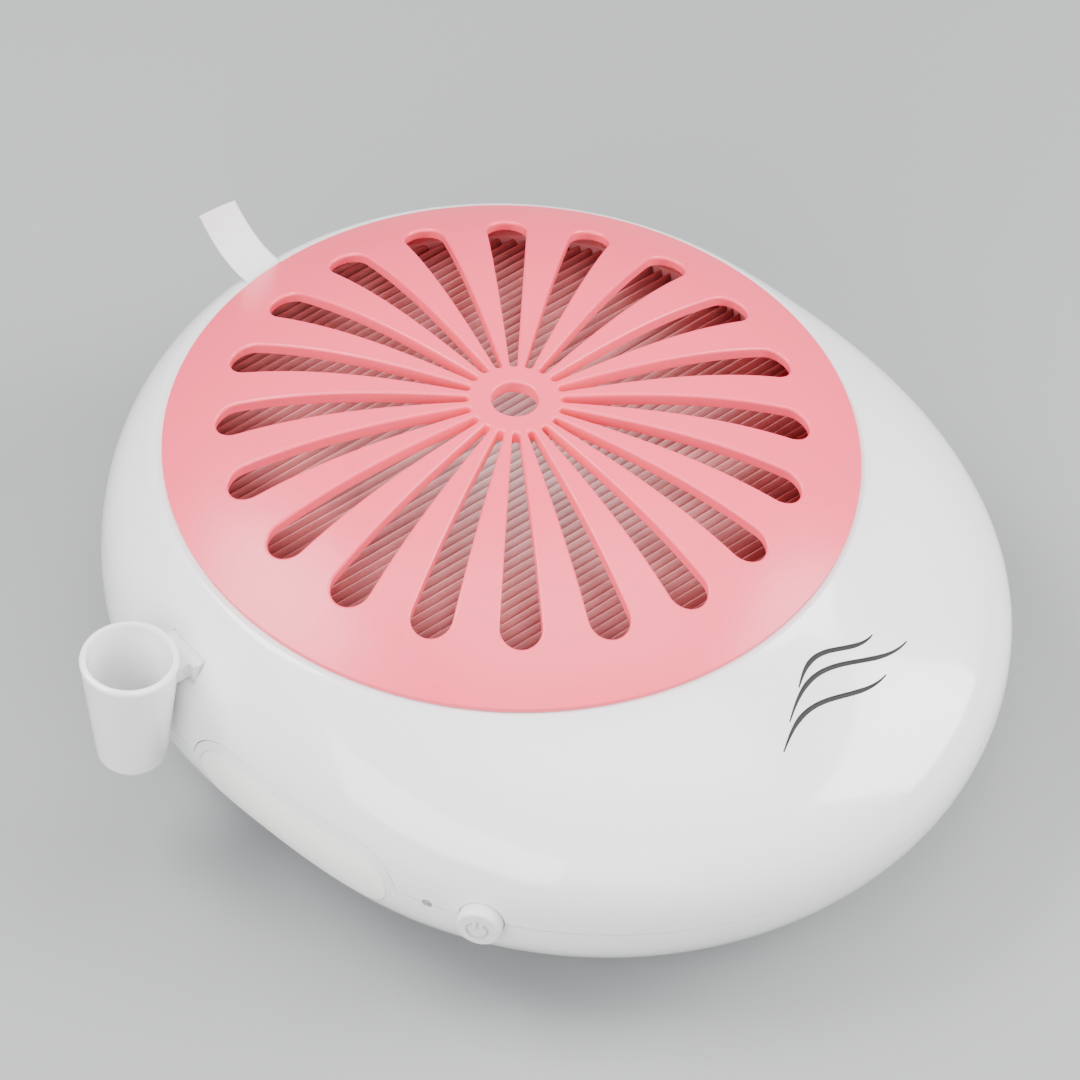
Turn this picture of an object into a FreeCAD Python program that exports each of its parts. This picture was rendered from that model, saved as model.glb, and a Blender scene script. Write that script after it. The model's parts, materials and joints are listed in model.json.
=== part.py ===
"""Nail dust collector: pebble housing, domed grille, lift-out pleated filter, fan, light and cup."""
import FreeCAD, Part
import math
import os
import re
import Sketcher

V = FreeCAD.Vector
Z_AXIS = V(0, 0, 1)
doc = FreeCAD.newDocument("nail_dust_collector")

# ---------------------------------------------------------------- driving sizes, millimetres and degrees
SIZES = {
    # housing: an oval plan with round ends, standing on feet, widest at the parting line
    "end_radius": 126.5, "end_pitch": 33.0, "side_radius": 322.0, "back_centre": 3.7,
    "base_height": 3.8, "parting_height": 42.0, "undercut": 50.0, "wall": 2.5, "parting_gap": 0.3,
    "collar_radius": 107.4, "collar_height": 83.7, "collar_rounding": 0.7, "neck_power": 1.1, "neck_swing": 0.25,
    # well under the collar that holds the filter
    "well_radius": 102.5, "well_wall": 2.7, "well_bottom": 60.5, "ledge_radius": 99.7, "ledge_top": 77.9,
    "ledge_depth": 3.0, "boss_ring": 109.0, "boss_radius": 4.2,
    # domed grille
    "grille_radius": 105.0, "grille_edge": 85.4, "grille_rise": 19.7, "dome_power": 3.14,
    "grille_skin": 4.4, "grille_skin_loss": 1.2, "flange_bottom": 84.05, "skirt_radius": 102.1, "skirt_wall": 2.1,
    "skirt_bottom": 78.0, "slot_count": 20, "slot_phase": 45.0, "slot_far": 82.65, "slot_far_radius": 6.13,
    "slot_near": 15.0, "slot_near_radius": 1.15, "hub_hole_radius": 7.0, "slot_rounding": 0.75,
    # filter cartridge
    "filter_radius": 99.0, "filter_wall": 2.5, "filter_bottom": 65.5, "filter_top": 80.0,
    "media_radius": 96.4, "media_top": 79.2, "media_bottom": 67.2, "pleat_pitch": 3.0, "pleat_skin": 2.4,
    "pleat_angle": -6.5,
    "gasket_inner": 91.0, "gasket_outer": 98.0, "gasket_bottom": 63.5,
    # pull ribbon
    "ribbon_width": 14.0, "ribbon_skin": 0.3, "ribbon_reach": 127.0, "ribbon_rise": 97.0,
    # filter tray
    "tray_radius": 106.5, "tray_bottom": 58.0, "inlet_radius": 47.0, "inlet_wall": 2.5, "tray_screw_radius": 1.45,
    # fan
    "scroll_radius": 72.0, "scroll_wall": 2.0, "scroll_bottom": 10.0, "scroll_top": 50.0, "cover_thick": 2.0,
    "duct_width": 60.0, "duct_height": 22.0, "duct_end": 86.5, "inlet_lip": 45.5, "inlet_throat": 46.0,
    "fan_post": 59.0, "fan_screw_radius": 1.5,
    "impeller_radius": 60.0, "impeller_plate": 15.0, "impeller_top": 44.0, "hub_radius": 22.0, "hub_top": 38.0,
    "blade_count": 11, "blade_thick": 1.6, "blade_root": 24.0, "blade_lean": 48.0,
    # motor
    "motor_radius": 18.0, "motor_top": 33.0, "shaft_radius": 2.5, "bearing_radius": 5.5,
    "bearing_clearance": 0.05, "stator_inner": 10.0,
    # light window
    "window_y": -32.2, "window_z": 40.0, "glass_half": 36.0, "glass_round": 11.2, "tongue_half": 39.1,
    "tongue_round": 14.4, "glass_gap": 0.15, "lens_thick": 2.2,
    # power button and indicator
    "button_angle": 62.0, "button_radius": 6.7, "button_proud": 4.0, "button_gap": 0.2,
    "indicator_angle": 69.5, "indicator_radius": 1.5,
    # tool cup
    "cup_angle": 171.0, "cup_reach": 138.9, "cup_top": 80.6, "cup_tall": 41.6, "cup_top_radius": 14.5,
    "cup_base_radius": 10.5, "cup_skin": 2.1, "block_width": 15.3, "block_bottom": 64.4, "block_top": 71.6,
    "block_face": 121.3, "block_root": 109.0, "block_gap": 0.35,
    # mains adapter inlet
    "jack_angle": -155.0, "jack_height": 33.0, "jack_radius": 4.0, "jack_bore": 2.85, "jack_pin": 1.05,
    "jack_sink": 4.5, "jack_floor": 3.0,
    # feet and case screws
    "foot_radius": 8.0, "foot_x": 48.0, "foot_back": 40.0, "foot_front": -80.0, "foot_sink": 1.0,
    "case_post_radius": 5.0, "case_screw_radius": 1.45, "case_head_radius": 3.4, "case_head_z": 24.0,
    # electronics
    "board_thick": 1.6, "board_x": -30.0, "board_y": -92.0, "board_z": 12.0, "board_long": 60.0,
    "board_wide": 32.0,
}

sheet = doc.addObject("Spreadsheet::Sheet", "Sizes")
for row, (alias, value) in enumerate(SIZES.items(), start=1):
    sheet.set("A%d" % row, alias)
    sheet.set("B%d" % row, str(value))
    sheet.setAlias("B%d" % row, alias)
doc.recompute()


def size(alias):
    """The number in one aliased cell."""
    return float(sheet.get(alias))


def bound(text):
    """An expression on the sheet: every word in it is an alias."""
    return re.sub(r"[a-z][a-z_]+", lambda word: "Sizes." + word.group(), text)


def number(text):
    """The present value of such an expression."""
    return float(sheet.evalExpression(bound(text)))


# ---------------------------------------------------------------- building blocks
def place(item, at=("0", "0", "0"), spin=0.0, axis=Z_AXIS):
    """Put an object at a point bound to the sheet, turned by spin degrees about axis."""
    point = V(*[number(text) for text in at])
    item.Placement = FreeCAD.Placement(point, FreeCAD.Rotation(axis, spin))
    for letter, text in zip("xyz", at):
        item.setExpression("Placement.Base." + letter, bound(text))
    return item


def box(name, length, width, height, at):
    """A block centred on at in X and Y, with its underside at at's Z."""
    item = doc.addObject("Part::Box", name)
    item.setExpression("Length", bound(length))
    item.setExpression("Width", bound(width))
    item.setExpression("Height", bound(height))
    corner = ("%s - (%s) / 2" % (at[0], length), "%s - (%s) / 2" % (at[1], width), at[2])
    return place(item, corner)


def post(name, radius, low, high, at=("0", "0")):
    """An upright round post from low to high."""
    item = doc.addObject("Part::Cylinder", name)
    item.setExpression("Radius", bound(radius))
    item.setExpression("Height", bound("(%s) - (%s)" % (high, low)))
    return place(item, (at[0], at[1], low))


def turned(name, corners):
    """A body turned about Z from a profile whose corners (radius, height) follow the sheet."""
    body = doc.addObject("PartDesign::Body", name)
    sketch = body.newObject("Sketcher::SketchObject", name + "_profile")
    plane = [item for item in body.Origin.OriginFeatures if item.Role == "XZ_Plane"][0]
    sketch.AttachmentSupport = [(plane, "")]
    sketch.MapMode = "FlatFace"
    points = [V(number(radius), number(height), 0) for radius, height in corners]
    for index, point in enumerate(points):
        sketch.addGeometry(Part.LineSegment(point, points[(index + 1) % len(points)]), False)
    for index in range(len(points)):
        sketch.addConstraint(Sketcher.Constraint("Coincident", index, 2, (index + 1) % len(points), 1))
    for index, corner in enumerate(corners):
        for kind, text, own_axis in (("DistanceX", corner[0], -2), ("DistanceY", corner[1], -1)):
            value = number(text)
            if abs(value) < 1e-9:
                sketch.addConstraint(Sketcher.Constraint("PointOnObject", index, 1, own_axis))
                continue
            made = sketch.addConstraint(Sketcher.Constraint(kind, -1, 1, index, 1, value))
            sketch.setExpression("Constraints[%d]" % made, bound(text))
    turn = body.newObject("PartDesign::Revolution", name + "_turn")
    turn.Profile = sketch
    turn.ReferenceAxis = (sketch, ["V_Axis"])
    turn.Angle = 360.0
    body.Tip = turn
    return body


def ring(name, inner, outer, low, high):
    """A plain ring about Z."""
    return turned(name, [(inner, low), (outer, low), (outer, high), (inner, high)])


def cut(name, base, *tools):
    """The base less every tool."""
    tool = tools[0] if len(tools) == 1 else fuse(name + "_tools", *tools)
    item = doc.addObject("Part::Cut", name)
    item.Base = base
    item.Tool = tool
    return item


def fuse(name, *shapes):
    """One solid from several."""
    item = doc.addObject("Part::MultiFuse", name)
    item.Shapes = list(shapes)
    return item


def shared(name, first, second):
    """What two solids have in common."""
    item = doc.addObject("Part::Common", name)
    item.Base = first
    item.Tool = second
    return item


def group(name, *solids):
    """Several separate solids kept in one sub-part."""
    item = doc.addObject("Part::Compound", name)
    item.Links = list(solids)
    return item


def formed(name, shape, at=V(0, 0, 0)):
    """A sculpted solid computed from the sheet."""
    item = doc.addObject("Part::Feature", name)
    item.Shape = shape
    item.Placement = FreeCAD.Placement(at, FreeCAD.Rotation())
    return item


def radial_box(name, start, end, width, low, high):
    """A block that runs outwards from start to end along X before it is turned to its place."""
    item = doc.addObject("Part::Box", name)
    item.setExpression("Length", bound("(%s) - (%s)" % (end, start)))
    item.setExpression("Width", bound(width))
    item.setExpression("Height", bound("(%s) - (%s)" % (high, low)))
    return place(item, (start, "-(%s) / 2" % width, low))


def spun(name, item, angle):
    """An object turned about the grille's axis by an angle in degrees."""
    holder = doc.addObject("Part::Compound", name)
    holder.Links = [item]
    holder.Placement = FreeCAD.Placement(V(0, 0, 0), FreeCAD.Rotation(Z_AXIS, angle))
    return holder


# ---------------------------------------------------------------- plan and profile of the housing
def plan_point(angle, radius):
    """A point of the oval plan whose outward normal stands at angle from the front, in radians."""
    half = size("end_pitch") / 2
    middle = -size("back_centre") - half
    side = size("side_radius") + radius - size("end_radius")
    lean = math.sqrt((side - radius) ** 2 - half ** 2)
    normal = V(math.sin(angle), -math.cos(angle), 0)
    turn_in = math.atan2(lean, half)
    across = abs(math.remainder(angle, 2 * math.pi))
    if across < turn_in:
        return V(0, middle - half, 0) + normal * radius
    if across > math.pi - turn_in:
        return V(0, middle + half, 0) + normal * radius
    return V(-math.copysign(lean, math.sin(angle)), middle, 0) + normal * side


def housing_section(height, inset):
    """A closed level curve of the housing at one height, inset from the outer face."""
    steps = 48
    widest = size("parting_height")
    top = size("collar_height") - inset
    base = size("base_height") + inset
    end = size("end_radius") - inset
    points = []
    for step in range(steps):
        angle = 2 * math.pi * step / steps
        normal = V(math.sin(angle), -math.cos(angle), 0)
        flank = plan_point(angle, end)
        if height >= widest:
            climb = (height - widest) / (top - widest)
            power = size("neck_power") + size("neck_swing") * math.cos(angle)
            spread = max(0.0, 1 - climb ** (8 / 3)) ** power
            collar = size("collar_radius") - inset - size("collar_rounding") * climb ** 60
            point = normal * collar * (1 - spread) + flank * spread
        else:
            sink = (widest - height) / (widest - base)
            point = flank - normal * size("undercut") * (1 - math.sqrt(max(0.0, 1 - sink * sink)))
        points.append(V(point.x, point.y, height))
    curve = Part.BSplineCurve()
    curve.interpolate(Points=points, PeriodicFlag=True)
    return Part.Wire([curve.toShape()])


def housing_solid(inset):
    """The whole pebble, inset from the outer face."""
    widest = size("parting_height")
    top = size("collar_height") - inset
    base = size("base_height") + inset
    lower_steps, upper_steps = 6, 9
    heights = [widest - (widest - base) * math.sin(math.pi / 2 * step / lower_steps)
               for step in range(lower_steps, 0, -1)]
    heights += [widest + (top - widest) * math.cos(math.pi / 2 * step / upper_steps) ** 0.75
                for step in range(upper_steps, -1, -1)]
    return Part.makeLoft([housing_section(height, inset) for height in heights], True, False)


def stadium(name, half_length, rounding):
    """A bar with round ends that runs out through the left flank."""
    y, z = size("window_y"), size("window_z")
    deep, reach = -100.0, 40.0
    straight = half_length - rounding
    low, high = z - rounding, z + rounding
    back, front = y + straight, y - straight
    edges = [Part.LineSegment(V(deep, front, low), V(deep, back, low)).toShape(),
             Part.Arc(V(deep, back, low), V(deep, back + rounding, z), V(deep, back, high)).toShape(),
             Part.LineSegment(V(deep, back, high), V(deep, front, high)).toShape(),
             Part.Arc(V(deep, front, high), V(deep, front - rounding, z), V(deep, front, low)).toShape()]
    return formed(name, Part.Face(Part.Wire(edges)).extrude(V(-reach, 0, 0)))


def flank_place(angle, height, depth=0.0):
    """The placement of a level axis that leaves the left flank square to it."""
    radians = -math.radians(angle)
    away = V(math.sin(radians), -math.cos(radians), 0)
    point = plan_point(radians, size("end_radius")) - away * depth
    level = Z_AXIS.cross(away)
    return FreeCAD.Placement(V(point.x, point.y, height), FreeCAD.Rotation(level, Z_AXIS, away, "ZXY"))


def level_post(name, radius, angle, height, start, end):
    """A round bar square to the flank, from start to end outwards of its face."""
    item = doc.addObject("Part::Cylinder", name)
    item.setExpression("Radius", bound(radius))
    item.setExpression("Height", bound("(%s) - (%s)" % (end, start)))
    item.Placement = flank_place(angle, height, -number(start))
    return item


CASE_POSTS = [(-79.0, 79.0), (79.0, 79.0), (-84.0, -94.0), (84.0, -94.0)]
TRAY_EARS = [0.0, 90.0, 180.0, 270.0]
FEET = [("-foot_x", "foot_back"), ("foot_x", "foot_back"), ("-foot_x", "foot_front"), ("foot_x", "foot_front")]
FAN_POSTS = [45.0, 135.0, 225.0, 315.0]
BOARD_CORNERS = [(-1, -1), (-1, 1), (1, -1), (1, 1)]


def around(angle, radius):
    """The X and Y of a point at an angle in degrees and a radius, as text for place."""
    turn = math.radians(angle)
    return ("%s * %.6f" % (radius, math.cos(turn)), "%s * %.6f" % (radius, math.sin(turn)))


def board_corner(side, end):
    """The X and Y of one corner hole of the control board, as text for place."""
    return ("board_x + %d * (board_long / 2 - 4)" % side, "board_y + %d * (board_wide / 2 - 4)" % end)


def at_point(point):
    """A plain point as text for place."""
    return tuple("%.4f" % value for value in point)


def flank_openings(name):
    """The round holes that the parting line runs through, for the button and the indicator."""
    line = size("parting_height")
    button = level_post(name + "_button_hole", "button_radius + button_gap", size("button_angle"), line,
                        "-12", "12")
    lamp = level_post(name + "_lamp_hole", "indicator_radius + 0.1", size("indicator_angle"), line, "-12", "12")
    return [button, lamp]


# ---------------------------------------------------------------- housing
def upper_shell(pebble, hollow):
    """The top cover: its hollow is the housing's, less the posts, sleeve and pocket that stand in it."""
    line = "parting_height + parting_gap / 2"
    inside, holes = [], []
    inside.append(ring("well_sleeve", "well_radius", "well_radius + well_wall", "well_bottom", "collar_height"))
    inside.append(ring("well_ledge", "ledge_radius", "well_radius + 0.5", "ledge_top - ledge_depth", "ledge_top"))
    for index, angle in enumerate(TRAY_EARS):
        spot = around(angle, "boss_ring")
        inside.append(post("sleeve_boss_%d" % index, "boss_radius", "well_bottom", "well_bottom + 12", spot))
        holes.append(post("sleeve_pilot_%d" % index, "tray_screw_radius", "well_bottom - 1",
                          "well_bottom + 9", spot))
    for index, spot in enumerate(CASE_POSTS):
        inside.append(post("upper_post_%d" % index, "case_post_radius", line, "collar_height", at_point(spot)))
        holes.append(post("upper_pilot_%d" % index, "case_screw_radius", "parting_height - 1",
                          "parting_height + 16", at_point(spot)))
    pocket = radial_box("pocket_block", "block_root - 2", "block_face + 3", "block_width + 2 * block_gap + 4",
                        "block_bottom - block_gap - 2", "block_top + block_gap + 2")
    inside.append(spun("pocket_block_placed", pocket, size("cup_angle")))
    cavity = cut("upper_cavity", hollow, *inside)
    band = box("upper_band", "400", "400", "60", ("0", "0", line))
    holes.append(post("collar_mouth", "well_radius", "ledge_top", "collar_height + 5"))
    mouth = radial_box("pocket_mouth", "block_root - 0.3", "block_face + 20", "block_width + 2 * block_gap",
                       "block_bottom - block_gap", "block_top + block_gap")
    holes.append(spun("pocket_mouth_placed", mouth, size("cup_angle")))
    gap = size("parting_gap")
    holes.append(stadium("tongue_clearance", size("tongue_half") + gap, size("tongue_round") + gap))
    holes.extend(flank_openings("upper"))
    top = shared("upper_form", pebble, band)
    return cut("upper_shell", cut("upper_wall", top, cavity), *holes)


def lower_shell(pebble, hollow):
    """The base and flanks, with a tongue that rises past the parting line round the window."""
    line = "parting_height - parting_gap / 2"
    inside, holes = [], []
    for index, spot in enumerate(CASE_POSTS):
        spot = at_point(spot)
        inside.append(post("lower_post_%d" % index, "case_post_radius", "base_height", line, spot))
        holes.append(post("head_bore_%d" % index, "case_head_radius + 0.4", "-1", "case_head_z", spot))
        holes.append(post("shank_bore_%d" % index, "case_screw_radius + 0.25", "case_head_z - 1",
                          "parting_height + 1", spot))
    for index, angle in enumerate(FAN_POSTS):
        spot = around(angle, "fan_post")
        inside.append(post("fan_pillar_%d" % index, "4", "base_height", "scroll_bottom", spot))
        holes.append(post("fan_pilot_%d" % index, "fan_screw_radius", "base_height + 1.4",
                          "scroll_bottom + 1", spot))
    for index, (side, end) in enumerate(BOARD_CORNERS):
        spot = board_corner(side, end)
        inside.append(post("board_pillar_%d" % index, "3", "base_height", "board_z", spot))
        holes.append(post("board_pilot_%d" % index, "1.2", "board_z - 5", "board_z + 1", spot))
    for side in (-1, 1):
        inside.append(box("light_rest_%d" % (side + 1), "5.6", "3", "window_z - glass_round + 2 - base_height",
                          ("-114.2", "window_y + %d" % (25 * side), "base_height")))
    seat = flank_place(size("button_angle"), 0.0, 17.8).Base
    inside.append(post("switch_rest", "4", "base_height", "parting_height - 20", at_point((seat.x, seat.y))))
    inside.append(level_post("jack_boss", "jack_radius + 5.2", size("jack_angle"), size("jack_height"),
                             "-jack_sink - jack_floor", "3"))
    cavity = cut("lower_cavity", hollow, *inside)
    band = box("lower_band", "400", "400", "60", ("0", "0", line + " - 60"))
    region = fuse("lower_region", band, stadium("tongue_form", size("tongue_half"), size("tongue_round")))
    form = shared("lower_form", pebble, region)
    holes.append(level_post("jack_recess", "jack_radius + 3.2", size("jack_angle"), size("jack_height"),
                            "-jack_sink", "8"))
    holes.append(level_post("jack_hole", "jack_radius + 0.1", size("jack_angle"), size("jack_height"),
                            "-20", "0"))
    for index, (x, y) in enumerate(FEET):
        holes.append(post("foot_recess_%d" % index, "foot_radius + 0.15", "-1", "base_height + foot_sink", (x, y)))
    slots, pitch = 13, 4.6
    for index in range(slots):
        across = (index - (slots - 1) / 2) * pitch
        holes.append(box("exhaust_slot_%d" % index, "2.4", "34", "20", ("%.2f" % across, "114", "13.5")))
    gap = size("glass_gap")
    holes.append(stadium("window_hole", size("glass_half") + gap, size("glass_round") + gap))
    holes.extend(flank_openings("lower"))
    return cut("lower_shell", cut("lower_wall", form, cavity), *holes)


def window_lens(pebble, hollow):
    blank = shared("lens_blank", pebble, stadium("lens_form", size("glass_half"), size("glass_round")))
    return cut("window_lens", blank, hollow)


def rubber_feet():
    feet = []
    for index, (x, y) in enumerate(FEET):
        foot = turned("foot_%d" % index, [("0", "0"), ("foot_radius - 1", "0"), ("foot_radius", "1"),
                                          ("foot_radius", "base_height + foot_sink"),
                                          ("0", "base_height + foot_sink")])
        feet.append(place(foot, (x, y, "0")))
    return group("rubber_feet", *feet)


def screw(name, head_radius, head_depth, shank_radius, length, at):
    """A screw that points up, with its head's seat at at and a cross recess in the head."""
    shape = turned(name + "_turned", [("0", "-(%s)" % head_depth), ("(%s) * 0.75" % head_radius,
                                      "-(%s)" % head_depth), (head_radius, "-(%s) * 0.5" % head_depth),
                                      (head_radius, "0"), (shank_radius, "0"),
                                      (shank_radius, "(%s) - 0.8" % length), ("0", length)])
    recess = [box(name + "_recess_%d" % turn, ("0.9", "3.4")[turn], ("3.4", "0.9")[turn], "1",
                  ("0", "0", "-(%s)" % head_depth)) for turn in (0, 1)]
    item = cut(name, shape, *recess)
    return place(item, at)


def case_screws():
    return group("case_screws", *[
        screw("case_screw_%d" % index, "case_head_radius", "2.2", "case_screw_radius", "33",
              at_point(spot) + ("case_head_z",)) for index, spot in enumerate(CASE_POSTS)])


# ---------------------------------------------------------------- filter tray and fan
def filter_tray():
    floor = turned("tray_floor", [
        ("inlet_radius", "scroll_top + cover_thick"), ("inlet_radius + inlet_wall", "scroll_top + cover_thick"),
        ("inlet_radius + inlet_wall", "tray_bottom"), ("tray_radius", "tray_bottom"),
        ("tray_radius", "well_bottom"), ("inlet_radius", "well_bottom")])
    seat = ring("tray_seat", "gasket_inner - 3", "gasket_outer + 0.5", "well_bottom - 0.5", "gasket_bottom")
    parts, holes = [floor, seat], []
    for index in range(8):
        rib = radial_box("tray_rib_%d" % index, "inlet_radius + 1", "gasket_inner", "2", "well_bottom - 0.5",
                         "gasket_bottom - 0.2")
        parts.append(spun("tray_rib_placed_%d" % index, rib, 22.5 + 45.0 * index))
    for index, angle in enumerate(TRAY_EARS):
        spot = around(angle, "boss_ring")
        parts.append(post("tray_ear_%d" % index, "boss_radius + 0.8", "tray_bottom", "well_bottom", spot))
        holes.append(post("tray_ear_hole_%d" % index, "tray_screw_radius + 0.25", "tray_bottom - 1",
                          "well_bottom + 1", spot))
    return cut("filter_tray", fuse("tray_body", *parts), *holes)


def tray_screws():
    return group("tray_screws", *[
        screw("tray_screw_%d" % index, "3.2", "2", "tray_screw_radius", "10.5",
              around(angle, "boss_ring") + ("tray_bottom",)) for index, angle in enumerate(TRAY_EARS)])


def fan_guard():
    low, high = "tray_bottom", "well_bottom"
    rings = [ring("guard_ring_%d" % index, "%d" % inner, "%.1f" % outer, low, high)
             for index, (inner, outer) in enumerate(((9, 11), (26, 28), (44, 46.9)))]
    bars = []
    for index in range(4):
        bar = box("guard_bar_%d" % index, "91", "2", "(%s) - (%s)" % (high, low), ("0", "0", low))
        bars.append(spun("guard_bar_placed_%d" % index, bar, 45.0 * index))
    return fuse("fan_guard", *(rings + bars))


def fan_scroll():
    drum = turned("scroll_drum", [
        ("0", "scroll_bottom"), ("scroll_radius + scroll_wall", "scroll_bottom"),
        ("scroll_radius + scroll_wall", "scroll_top"), ("0", "scroll_top")])
    duct = box("duct_outer", "duct_width + 2 * scroll_wall", "duct_end - 50", "duct_height + 2 * scroll_wall",
               ("0", "(duct_end + 50) / 2", "scroll_bottom"))
    bore = post("scroll_bore", "scroll_radius", "scroll_bottom + scroll_wall", "scroll_top + 1")
    passage = box("duct_passage", "duct_width", "duct_end - 39", "duct_height",
                  ("0", "(duct_end + 41) / 2", "scroll_bottom + scroll_wall"))
    holes = [bore, passage]
    for index, angle in enumerate(FAN_POSTS):
        holes.append(post("scroll_hole_%d" % index, "fan_screw_radius + 0.2", "scroll_bottom - 1",
                          "scroll_bottom + scroll_wall + 1", around(angle, "fan_post")))
    for side in (-1, 1):
        holes.append(post("motor_hole_%d" % (side + 1), "1.4", "scroll_bottom - 1",
                          "scroll_bottom + scroll_wall + 1", ("%d" % (11 * side), "0")))
    return cut("fan_scroll", fuse("scroll_body", drum, duct), *holes)


def fan_cover():
    return turned("fan_cover", [
        ("inlet_throat", "inlet_lip"), ("inlet_throat + 2", "inlet_lip"), ("inlet_throat + 2", "scroll_top"),
        ("scroll_radius + scroll_wall", "scroll_top"),
        ("scroll_radius + scroll_wall", "scroll_top + cover_thick"), ("inlet_throat", "scroll_top + cover_thick")])


def flipped_screw(name, head_radius, shank_radius, length, at):
    """A screw that points down, with its head's seat at at."""
    item = screw(name + "_up", head_radius, "1.6", shank_radius, length, ("0", "0", "0"))
    turned_over = doc.addObject("Part::Compound", name)
    turned_over.Links = [item]
    return place(turned_over, at, 180.0, V(1, 0, 0))


def fan_screws():
    return group("fan_screws", *[
        flipped_screw("fan_screw_%d" % index, "3", "fan_screw_radius", "6.4",
                      around(angle, "fan_post") + ("scroll_bottom + scroll_wall",))
        for index, angle in enumerate(FAN_POSTS)])


def motor_screws():
    return group("motor_screws", *[
        screw("motor_screw_%d" % (side + 1), "2.4", "1.5", "1.2", "6", ("%d" % (11 * side), "0", "scroll_bottom"))
        for side in (-1, 1)])


def motor_can():
    shell = turned("can_turned", [
        ("0", "scroll_bottom + scroll_wall"), ("motor_radius", "scroll_bottom + scroll_wall"),
        ("motor_radius", "motor_top - 1"), ("motor_radius - 1", "motor_top"), ("bearing_radius", "motor_top"),
        ("bearing_radius", "motor_top - 5"), ("motor_radius - 1.5", "motor_top - 5"),
        ("motor_radius - 1.5", "motor_top - 15"), ("bearing_radius", "motor_top - 15"),
        ("bearing_radius", "motor_top - 19"), ("0", "motor_top - 19")])
    holes = [post("can_hole_%d" % (side + 1), "1.2", "scroll_bottom", "scroll_bottom + 6.1",
                  ("%d" % (11 * side), "0")) for side in (-1, 1)]
    return cut("motor_can", shell, *holes)


def motor_bearings():
    inner = "shaft_radius + bearing_clearance"
    return group("motor_bearings",
                 ring("bearing_low", inner, "bearing_radius", "motor_top - 19", "motor_top - 15.2"),
                 ring("bearing_high", inner, "bearing_radius", "motor_top - 4.6", "motor_top - 0.4"))


def motor_stator():
    return ring("motor_stator", "stator_inner", "motor_radius - 1.6", "motor_top - 14.4", "motor_top - 5.6")


def motor_magnet():
    return ring("motor_magnet", "shaft_radius", "stator_inner - 0.7", "motor_top - 14.4", "motor_top - 5.6")


def motor_shaft():
    return post("motor_shaft", "shaft_radius", "motor_top - 18.8", "impeller_top + 3.5")


def impeller_nut():
    nut = doc.addObject("Part::Prism", "nut_hexagon")
    nut.Polygon = 6
    nut.Circumradius = 4.8
    nut.Height = 2.8
    place(nut, ("0", "0", "impeller_top"))
    return cut("impeller_nut", nut, post("nut_bore", "shaft_radius", "impeller_top - 1", "impeller_top + 4"))


def impeller():
    hub = turned("impeller_hub", [
        ("hub_radius - 2", "impeller_plate"), ("impeller_radius", "impeller_plate"),
        ("impeller_radius", "impeller_plate + 1.8"), ("hub_radius", "impeller_plate + 1.8"),
        ("hub_radius", "hub_top - 1.5"), ("hub_radius - 1.5", "hub_top"), ("6", "hub_top"),
        ("6", "impeller_top"), ("shaft_radius", "impeller_top"), ("shaft_radius", "hub_top - 2"),
        ("hub_radius - 2", "hub_top - 2")])
    hoop = ring("impeller_hoop", "impeller_radius - 5", "impeller_radius", "impeller_top - 1.5", "impeller_top")
    blades = []
    count = int(size("blade_count"))
    for index in range(count):
        blade = doc.addObject("Part::Box", "blade_%d" % index)
        blade.Length = 38.5
        blade.setExpression("Width", bound("blade_thick"))
        blade.setExpression("Height", bound("impeller_top - impeller_plate - 1"))
        root = FreeCAD.Placement(V(size("blade_root"), 0, size("impeller_plate") + 0.5),
                                 FreeCAD.Rotation(Z_AXIS, size("blade_lean")))
        blade.Placement = FreeCAD.Placement(V(0, 0, 0), FreeCAD.Rotation(Z_AXIS, 360 / count * index)).multiply(root)
        blades.append(blade)
    return fuse("impeller", hub, hoop, *blades)


# ---------------------------------------------------------------- filter cartridge
def filter_frame():
    rim = turned("frame_rim", [
        ("gasket_inner - 1", "filter_bottom"), ("filter_radius", "filter_bottom"),
        ("filter_radius", "filter_top"), ("filter_radius - filter_wall", "filter_top"),
        ("filter_radius - filter_wall", "media_bottom - 0.1"), ("gasket_inner - 1", "media_bottom - 0.1")])
    spokes = []
    for index in range(3):
        spoke = box("frame_spoke_%d" % index, "2 * gasket_inner", "3", "media_bottom - 0.1 - filter_bottom",
                    ("0", "0", "filter_bottom"))
        spokes.append(spun("frame_spoke_placed_%d" % index, spoke, 60.0 * index))
    return fuse("filter_frame", rim, *spokes)


def filter_media():
    """Straight pleats close to X, folded from one sheet and trimmed to the round frame."""
    pitch, skin = size("pleat_pitch"), size("pleat_skin")
    low, high = size("media_bottom"), size("media_top") - skin
    half_count = math.ceil(size("media_radius") / pitch)
    under = []
    for index in range(-half_count, half_count + 1):
        under.append((index * pitch, low))
        under.append(((index + 0.5) * pitch, high))
    over = [(y, z + skin) for y, z in reversed(under)]
    corners = [V(-120, y, z) for y, z in under + over]
    sheet_solid = Part.Face(Part.makePolygon(corners + corners[:1])).extrude(V(240, 0, 0))
    folded = spun("pleats_turned", formed("pleated_sheet", sheet_solid), size("pleat_angle"))
    return shared("filter_media", folded, post("media_outline", "media_radius", "media_bottom - 1", "media_top + 1"))


def filter_gasket():
    return ring("filter_gasket", "gasket_inner", "gasket_outer", "gasket_bottom", "filter_bottom")


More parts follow.
